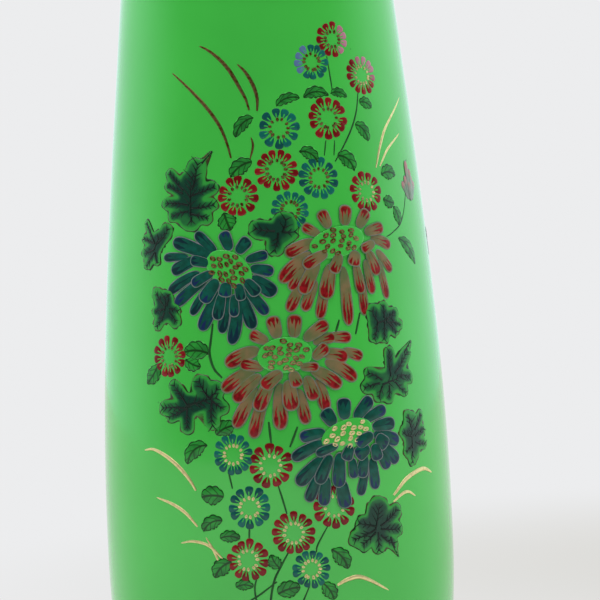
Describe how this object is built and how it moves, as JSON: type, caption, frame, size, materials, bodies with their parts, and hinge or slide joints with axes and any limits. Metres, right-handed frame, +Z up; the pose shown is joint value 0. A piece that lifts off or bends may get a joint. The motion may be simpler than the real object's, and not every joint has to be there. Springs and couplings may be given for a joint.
{
  "type": "cloisonne vase",
  "caption": "Tall enamelled metal vase with a slender shouldered body, a flared lip bound in brass, a brass foot ring and a raised enamel spray of flowers on its front",
  "frame": {"origin": "On the vase's axis, in the plane that its foot ring stands on", "axes": "+Z up along the vase's axis; -Y towards the viewer of the flower spray; +X to that viewer's right"},
  "size_m": [0.12, 0.1208, 0.3342],
  "materials": {
    "copper": "spun copper",
    "green_enamel": "polished",
    "lining_enamel": "glossy",
    "brass": "polished",
    "gilt": "satin",
    "red_enamel": "polished",
    "rose_enamel": "polished",
    "blue_enamel": "polished",
    "leaf_enamel": "polished"
  },
  "bodies": {
    "root": {"copper_body": "copper", "ground_enamel": "green_enamel", "inner_enamel": "lining_enamel", "base_enamel": "lining_enamel", "foot_ring": "brass", "rim_binding": "brass", "chrysanthemum_blue_upper": "blue_enamel", "chrysanthemum_blue_lower": "blue_enamel", "chrysanthemum_red_upper": "rose_enamel", "chrysanthemum_red_middle": "rose_enamel", "blossom_red_01": "red_enamel", "blossom_red_02": "red_enamel", "blossom_red_03": "red_enamel", "blossom_red_04": "red_enamel", "blossom_red_05": "red_enamel", "blossom_red_06": "red_enamel", "blossom_red_07": "red_enamel", "blossom_red_08": "red_enamel", "blossom_red_09": "red_enamel", "blossom_red_10": "red_enamel", "blossom_red_11": "red_enamel", "blossom_red_12": "red_enamel", "bud_red": "red_enamel", "blossom_blue_01": "blue_enamel", "blossom_blue_02": "blue_enamel", "blossom_blue_03": "blue_enamel", "blossom_blue_04": "blue_enamel", "blossom_blue_05": "blue_enamel", "blossom_blue_06": "blue_enamel", "blossom_blue_07": "blue_enamel", "blossom_blue_08": "blue_enamel", "leaf_01": "leaf_enamel", "leaf_02": "leaf_enamel", "leaf_03": "leaf_enamel", "leaf_04": "leaf_enamel", "leaf_05": "leaf_enamel", "leaf_06": "leaf_enamel", "leaf_07": "leaf_enamel", "leaf_08": "leaf_enamel", "leaf_09": "leaf_enamel", "leaf_10": "leaf_enamel", "leaf_11": "leaf_enamel", "grass_blade_01": "gilt", "grass_blade_02": "gilt", "grass_blade_03": "gilt", "grass_blade_04": "gilt", "grass_blade_05": "gilt", "grass_blade_06": "gilt", "grass_blade_07": "gilt", "grass_blade_08": "gilt", "grass_blade_09": "gilt", "grass_blade_10": "gilt", "grass_blade_11": "gilt", "grass_blade_12": "gilt", "grass_blade_13": "gilt", "grass_blade_14": "gilt"}
  },
  "joints": []
}
